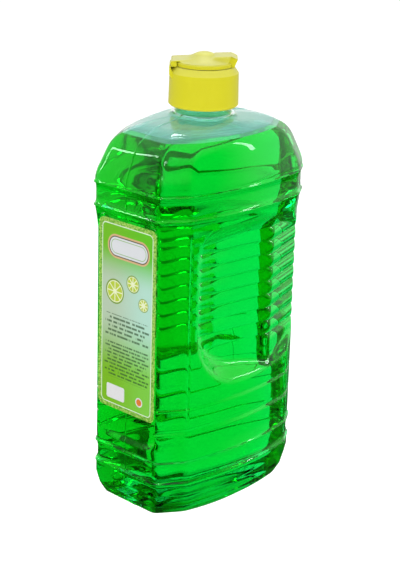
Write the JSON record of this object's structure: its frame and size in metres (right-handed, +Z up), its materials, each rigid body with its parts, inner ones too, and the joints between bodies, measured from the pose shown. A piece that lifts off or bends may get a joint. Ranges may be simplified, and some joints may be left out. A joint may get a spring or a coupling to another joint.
{
  "type": "cologne bottle",
  "caption": "Clear rectangular household cologne bottle with chamfered corners, ribbed side grips, swollen rings, green liquid, a front label and a yellow flip-top screw cap",
  "frame": {"origin": "middle of the foot, on the plane that the bottle rests on", "axes": "+Z is up, along the neck; -Y is the front, with the label; +X and -X are the two grip sides"},
  "size_m": [0.066, 0.0982, 0.2157],
  "materials": {
    "clear_pet": "clear gloss",
    "green_liquid": "transparent green",
    "label_film": "printed film",
    "yellow_plastic": "slightly translucent, satin"
  },
  "bodies": {
    "bottle": {"bottle": "clear_pet", "liquid": "green_liquid", "label": "label_film"},
    "cap": {"cap_base": "yellow_plastic"},
    "lid": {"cap_lid": "yellow_plastic"}
  },
  "joints": [
    {"name": "cap_off", "type": "slide", "parent": "bottle", "child": "cap", "axis": [0, 0, 1], "range_m": [0, 0.03]},
    {"name": "lid_flip", "type": "hinge", "parent": "cap", "child": "lid", "pos_m": [-0.0113, -0.01076, 0.2097], "axis": [0.6896, -0.7242, 0], "range_deg": [0, 140]}
  ]
}
